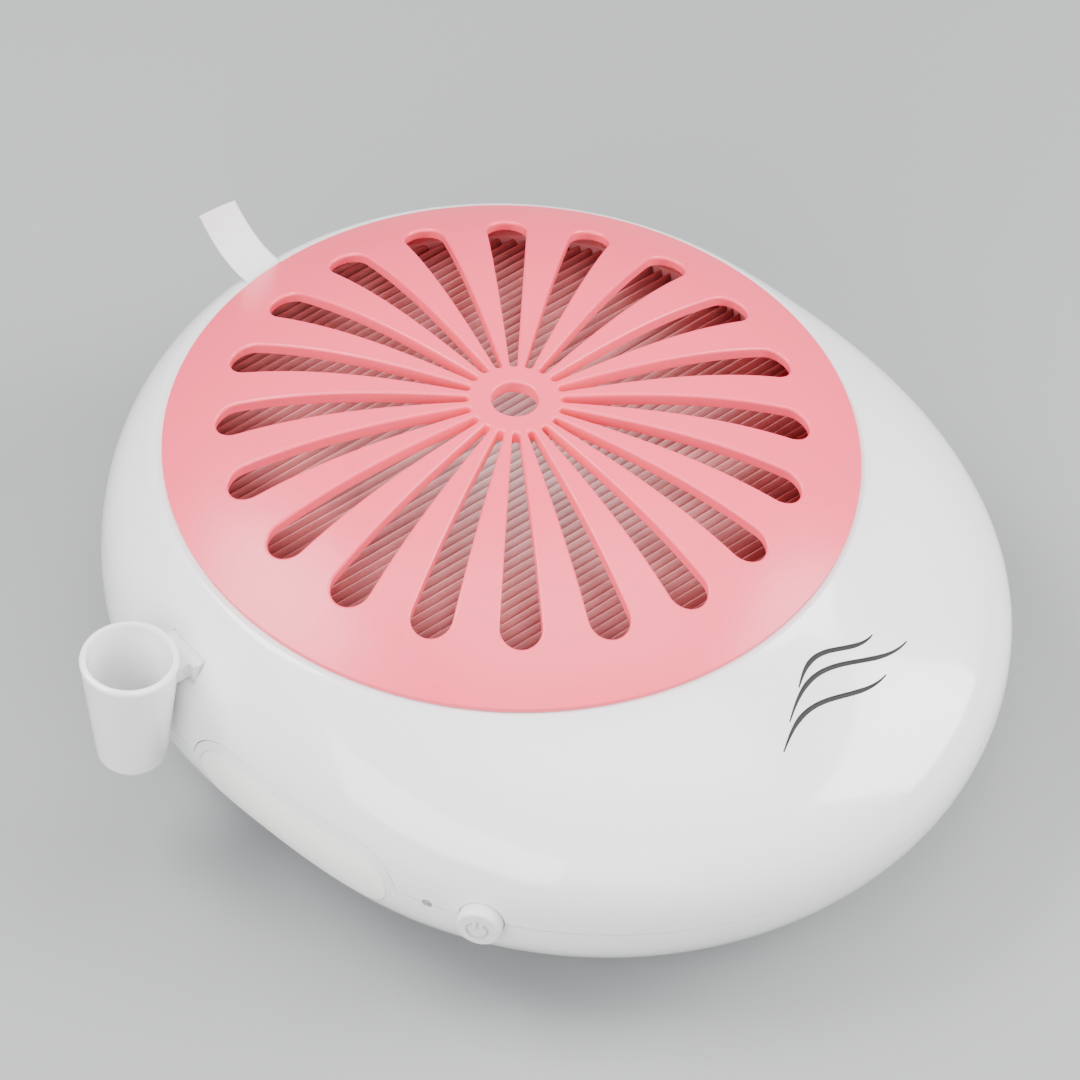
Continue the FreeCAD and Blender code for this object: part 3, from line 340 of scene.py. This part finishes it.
def circuit(name):
    """Green solder mask with paler track lines."""
    material, nodes, links = new_material(name)
    shader = nodes["Principled BSDF"]
    place = nodes.new("ShaderNodeTexCoord")
    tracks = nodes.new("ShaderNodeTexBrick")
    tracks.inputs["Scale"].default_value = 130.0
    tracks.inputs["Color1"].default_value = (0.01, 0.10, 0.04, 1.0)
    tracks.inputs["Color2"].default_value = (0.012, 0.13, 0.05, 1.0)
    tracks.inputs["Mortar"].default_value = (0.03, 0.26, 0.12, 1.0)
    tracks.inputs["Mortar Size"].default_value = 0.03
    links.new(place.outputs["Object"], tracks.inputs["Vector"])
    links.new(tracks.outputs["Color"], shader.inputs["Base Color"])
    cloud = mapped_noise(nodes, links, 300.0)
    span = number_between(nodes, links, cloud.outputs["Fac"], 0.25, 0.40)
    links.new(span.outputs["Result"], shader.inputs["Roughness"])
    return material


MATERIALS = {
    # outside
    "white_plastic": moulded("white_gloss", (0.86, 0.86, 0.87), 0.985, (0.14, 0.20), coat=0.5, scatter=0.08,
                             scatter_color=(1.0, 0.95, 0.9)),
    "pink_plastic": moulded("pink_satin", (1.0, 0.088, 0.155), 0.995, (0.26, 0.32)),
    "lens_plastic": moulded("milky_lens", (1.0, 0.995, 0.93), 0.985, (0.30, 0.38), scatter=0.3,
                            scatter_color=(1.0, 0.95, 0.8)),
    "lamp_glass": clear_lamp(),
    "button_plastic": moulded("button_plastic_look", (0.74, 0.74, 0.75), 0.985, (0.26, 0.34)),
    "symbol_plastic": moulded("symbol_plastic_look", (0.52, 0.52, 0.54), 0.97, (0.22, 0.30)),
    "motif_ink": moulded("motif_ink_look", (0.012, 0.012, 0.013), 0.8, (0.62, 0.74)),
    "foot_rubber": moulded("foot_rubber_look", (0.05, 0.05, 0.05), 0.8, (0.6, 0.8), 900.0, 0.0001),
    "screw_steel": metal("screw_steel_look", (0.55, 0.55, 0.56)),
    # filter
    "filter_plastic": moulded("filter_plastic_look", (0.82, 0.36, 0.38), 0.95, (0.4, 0.55)),
    "filter_paper": filter_cloth(),
    "gasket_rubber": moulded("gasket_foam_look", (0.55, 0.54, 0.53), 0.85, (0.8, 0.95), 1800.0, 0.0002),
    "ribbon_fabric": woven_tape(),
    # fan and motor
    "inner_plastic": moulded("inner_plastic_look", (0.62, 0.58, 0.58), 0.93, (0.45, 0.60)),
    "fan_plastic": moulded("fan_plastic_look", (0.02, 0.02, 0.022), 0.7, (0.35, 0.5)),
    "guard_steel": metal("guard_steel_look", (0.66, 0.66, 0.67)),
    "motor_steel": metal("motor_steel_look", (0.58, 0.58, 0.60)),
    "bearing_steel": metal("bearing_steel_look", (0.72, 0.72, 0.73), (0.10, 0.2)),
    "winding_copper": metal("winding_copper_look", (0.70, 0.30, 0.14), (0.25, 0.4), (1.0, 1.0, 40.0)),
    "magnet_iron": metal("magnet_iron_look", (0.12, 0.12, 0.13), (0.4, 0.6)),
    "nut_brass": metal("nut_brass_look", (0.72, 0.52, 0.22)),
    # switch, light and electronics
    "switch_plastic": moulded("switch_plastic_look", (0.015, 0.015, 0.016), 0.7, (0.35, 0.5)),
    "spring_steel": metal("spring_steel_look", (0.62, 0.62, 0.64)),
    "circuit_board": circuit("circuit_board_look"),
    "reflector_plastic": moulded("reflector_plastic_look", (0.82, 0.82, 0.81), 0.97, (0.25, 0.4)),
    "chip_ceramic": moulded("chip_look", (0.80, 0.66, 0.16), 0.9, (0.3, 0.45)),
    "component_plastic": moulded("component_look", (0.02, 0.02, 0.022), 0.7, (0.35, 0.55)),
    "lead_sleeve": moulded("lead_sleeve_look", (0.015, 0.015, 0.016), 0.7, (0.45, 0.6)),
}


def dress_cad_nodes():
    """Give every CAD node the look of its material slot."""
    for part in frame["record"]["subparts"]:
        node = bpy.data.objects[part["node"]]
        if not node.material_slots:
            node.data.materials.append(None)
        for held in node.material_slots:
            held.material = MATERIALS[part["material_slot"]]


# ---------------------------------------------------------------- mesh helpers
def mesh_piece(name, points, faces, look, smooth=True):
    mesh = bpy.data.meshes.new(name)
    mesh.from_pydata([tuple(point) for point in points], [], faces)
    mesh.update()
    if smooth:
        mesh.polygons.foreach_set("use_smooth", [True] * len(mesh.polygons))
    mesh.materials.append(MATERIALS[look])
    item = bpy.data.objects.new(name, mesh)
    bpy.context.collection.objects.link(item)
    return item


def thicken(item, thickness, offset=-1.0):
    skin = item.modifiers.new("thickness", "SOLIDIFY")
    skin.thickness = thickness * MM
    skin.offset = offset


def strip_faces(rows, across):
    """Quads of a grid whose rows each hold a number of points."""
    faces = []
    for row in range(rows - 1):
        for column in range(across - 1):
            first = row * across + column
            faces.append((first, first + 1, first + across + 1, first + across))
    return faces


def path_frames(path):
    """Each point of a flat path with the unit vector square to it."""
    for index, (x, y) in enumerate(path):
        before, after = path[max(index - 1, 0)], path[min(index + 1, len(path) - 1)]
        along = Vector((after[0] - before[0], after[1] - before[1], 0)).normalized()
        yield index, x, y, Vector((-along.y, along.x, 0))


def surface_tree(node):
    mesh = bpy.data.objects[node].data
    return BVHTree.FromPolygons([vertex.co.copy() for vertex in mesh.vertices],
                                [tuple(face.vertices) for face in mesh.polygons])


# ---------------------------------------------------------------- pull ribbon
# its line as (y, z) in millimetres: up the filter's frame, under the grille's flange, over the collar and free
RIBBON_LINE = [(99.15, 70.0), (99.15, 75.0), (99.15, 80.6), (99.6, 82.2), (100.65, 83.3), (102.05, 83.87),
               (106.4, 83.87), (110.5, 84.62), (114.5, 86.07), (119.0, 88.87), (123.8, 93.2), (127.0, 97.0)]
RIBBON_WIDTH = 14.0
RIBBON_SKIN = 0.28
RIBBON_PIECES = 6
RIBBON_COLUMNS = 17
FREE_FROM, FREE_RUN = 108.0, 19.0
TIP_CUP = 1.5
TIP_SKEW = 2.0


def smooth_line(points, pieces):
    """Catmull-Rom points through a line of (along, up) pairs."""
    fine = []
    for index in range(len(points) - 1):
        before = points[max(index - 1, 0)]
        start, end = points[index], points[index + 1]
        after = points[min(index + 2, len(points) - 1)]
        for step in range(pieces):
            t = step / pieces
            fine.append(tuple(
                0.5 * (2 * b + (c - a) * t + (2 * a - 5 * b + 4 * c - d) * t * t
                       + (3 * b - a - 3 * c + d) * t ** 3)
                for a, b, c, d in zip(before, start, end, after)))
    fine.append(points[-1])
    return fine


def make_ribbon():
    line = smooth_line(RIBBON_LINE, RIBBON_PIECES)
    points, lengths, run = [], [], 0.0
    for index, (y, z) in enumerate(line):
        if index:
            run += math.hypot(y - line[index - 1][0], z - line[index - 1][1])
        lengths.append(run)
        before, after = line[max(index - 1, 0)], line[min(index + 1, len(line) - 1)]
        along = Vector((0, after[0] - before[0], after[1] - before[1])).normalized()
        normal = Vector((0, -along.z, along.y))
        free = max(0.0, (y - FREE_FROM) / FREE_RUN)
        for column in range(RIBBON_COLUMNS):
            across = column / (RIBBON_COLUMNS - 1) - 0.5
            cup = -TIP_CUP * free * (1 - 4 * across * across)
            skew = -TIP_SKEW * across * free * free
            points.append((Vector((across * RIBBON_WIDTH, y, z)) + normal * cup + along * skew) * MM)
    faces = strip_faces(len(line), RIBBON_COLUMNS)
    ribbon = mesh_piece("ribbon_tape", points, faces, "ribbon_fabric")
    layer = ribbon.data.uv_layers.new(name="weave")
    for loop in ribbon.data.loops:
        row, column = divmod(loop.vertex_index, RIBBON_COLUMNS)
        layer.data[loop.index].uv = (column / (RIBBON_COLUMNS - 1) * RIBBON_WIDTH * MM, lengths[row] * MM)
    thicken(ribbon, RIBBON_SKIN, 0.0)
    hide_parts("pull_ribbon")
    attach(ribbon, "filter")


# ---------------------------------------------------------------- filter pleats
PLEAT_PITCH = 3.0
PLEAT_TURN = math.radians(-6.5)
PLEAT_LOW, PLEAT_HIGH = 67.3, 79.1
PLEAT_STEPS = 16
PLEAT_COLUMNS = 41
PLEAT_WANDER = 0.22
WANDER_STEP, SWAY_STEP = 2.4, 0.7
SWAY_LENGTH = 23.0
MEDIA_RADIUS = 96.3
MEDIA_EDGE = 0.5
FELT_SKIN = 0.5


def make_pleats():
    """One sheet folded into round-topped pleats close to X, trimmed to the round frame."""
    count = int(MEDIA_RADIUS / PLEAT_PITCH * 2) * PLEAT_STEPS
    turn = Quaternion(UP, PLEAT_TURN)
    points, rows = [], 0
    for index in range(count + 1):
        y = (index / PLEAT_STEPS - count / PLEAT_STEPS / 2) * PLEAT_PITCH
        if abs(y) > MEDIA_RADIUS - MEDIA_EDGE:
            continue
        rows += 1
        fold = index // PLEAT_STEPS
        rise = abs(math.sin(math.pi * index / PLEAT_STEPS)) ** 0.5
        height = PLEAT_LOW + (PLEAT_HIGH - PLEAT_LOW) * rise
        half = math.sqrt(MEDIA_RADIUS ** 2 - y * y)
        wander = PLEAT_WANDER * math.sin(fold * WANDER_STEP)
        for column in range(PLEAT_COLUMNS):
            x = (column / (PLEAT_COLUMNS - 1) * 2 - 1) * half
            sway = wander * math.sin(x / SWAY_LENGTH + fold * SWAY_STEP) * (1 - (x / MEDIA_RADIUS) ** 2) * rise
            points.append(turn @ (Vector((x, y + sway, height)) * MM))
    faces = strip_faces(rows, PLEAT_COLUMNS)
    pleats = mesh_piece("pleated_felt", points, faces, "filter_paper")
    thicken(pleats, FELT_SKIN)
    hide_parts("filter_media")
    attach(pleats, "filter")


# ---------------------------------------------------------------- motif on the front slope
# each line's start and end along x, its offset along y and its swing, in millimetres
BREEZE_LINES = ((-24.0, 20.0, 0.0, 3.5), (-16.0, 34.0, 5.0, 4.5), (-6.0, 26.0, 10.5, 3.0))
BREEZE_FRONT = -131.0
BREEZE_RISE = 2.0
BREEZE_WAVES = 1.6
BREEZE_STEPS = 44
STROKE_WIDTH = 1.4
STROKE_TIP, STROKE_TAPER = 0.25, 3
STROKE_LIFT = 0.06
STROKE_SKIN = 0.03
ABOVE = 0.2


def make_stroke(name, tree, path, body):
    """A thin inked line, pointed at its ends, laid on a surface along a path of (x, y)."""
    points = []
    for index, x, y, side in path_frames(path):
        taper = min(1.0, STROKE_TIP + STROKE_TAPER * min(index, len(path) - 1 - index) / len(path))
        for turn in (-1, 0, 1):
            spot = Vector((x, y, 0)) + side * STROKE_WIDTH / 2 * taper * turn
            hit, normal, _face, _gap = tree.ray_cast(Vector((spot.x * MM, spot.y * MM, ABOVE)), -UP)
            points.append(hit + normal * STROKE_LIFT * MM)
    # wound so that the strokes' outer faces look up
    faces = [(a, d, c, b) for a, b, c, d in strip_faces(len(path), 3)]
    stroke = mesh_piece(name, points, faces, "motif_ink")
    thicken(stroke, STROKE_SKIN)
    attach(stroke, body)


def make_motif():
    """Three plain breeze lines on the front slope."""
    tree = surface_tree("upper_shell")
    for number, (start, end, offset, swing) in enumerate(BREEZE_LINES):
        path = []
        for step in range(BREEZE_STEPS + 1):
            t = step / BREEZE_STEPS
            y = BREEZE_FRONT + offset + swing * math.sin(t * math.pi * BREEZE_WAVES) + BREEZE_RISE * t
            path.append((start + (end - start) * t, y))
        make_stroke("breeze_line_%d" % number, tree, path, "housing")


# ---------------------------------------------------------------- power symbol on the button
BUTTON_TURN = math.radians(62.0)
SYMBOL_RADIUS = 3.1
SYMBOL_GAP = math.radians(32.0)
SYMBOL_STEPS = 36
SYMBOL_BAR = [(0, 0.7), (0, 2.2), (0, 3.9)]
SYMBOL_WIDTH = 0.85
SYMBOL_CROWN = 0.72
SYMBOL_TALL = 0.42
SYMBOL_SUNK = 0.02


def raised_bar(name, path, centre, level, away, body):
    """A bar with sloping sides along a path of (sideways, up) on a face that looks away."""
    section = ((-1, 0.0), (-SYMBOL_CROWN, SYMBOL_TALL), (SYMBOL_CROWN, SYMBOL_TALL), (1, 0.0))
    points = []
    for _index, u, v, side in path_frames(path):
        for turn, lift in section:
            spot_u = u + side.x * SYMBOL_WIDTH / 2 * turn
            spot_v = v + side.y * SYMBOL_WIDTH / 2 * turn
            points.append(centre + (level * spot_u + UP * spot_v + away * lift) * MM)
    faces = strip_faces(len(path), len(section))
    last = len(section) * (len(path) - 1)
    faces.append((3, 2, 1, 0))
    faces.append((last, last + 1, last + 2, last + 3))
    for first in range(0, last, len(section)):
        faces.append((first + 3, first, first + 4, first + 7))
    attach(mesh_piece(name, points, faces, "symbol_plastic", smooth=False), body)


def make_power_symbol():
    """A raised ring with a gap and a bar on the button's face."""
    away = Vector((-math.sin(BUTTON_TURN), -math.cos(BUTTON_TURN), 0))
    level = UP.cross(away)
    low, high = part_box("power_button")
    middle = (low + high) / 2
    face = max(vertex.co.dot(away) for vertex in bpy.data.objects["power_button"].data.vertices)
    centre = away * (face - SYMBOL_SUNK * MM) + level * middle.dot(level) + UP * middle.z
    ring = []
    for step in range(SYMBOL_STEPS + 1):
        turn = SYMBOL_GAP + (2 * math.pi - 2 * SYMBOL_GAP) * step / SYMBOL_STEPS
        ring.append((SYMBOL_RADIUS * math.sin(turn), SYMBOL_RADIUS * math.cos(turn)))
    raised_bar("power_symbol_ring", ring, centre, level, away, "button")
    raised_bar("power_symbol_bar", SYMBOL_BAR, centre, level, away, "button")


make_camera()
make_studio()
dress_cad_nodes()
make_ribbon()
make_pleats()
make_motif()
make_power_symbol()
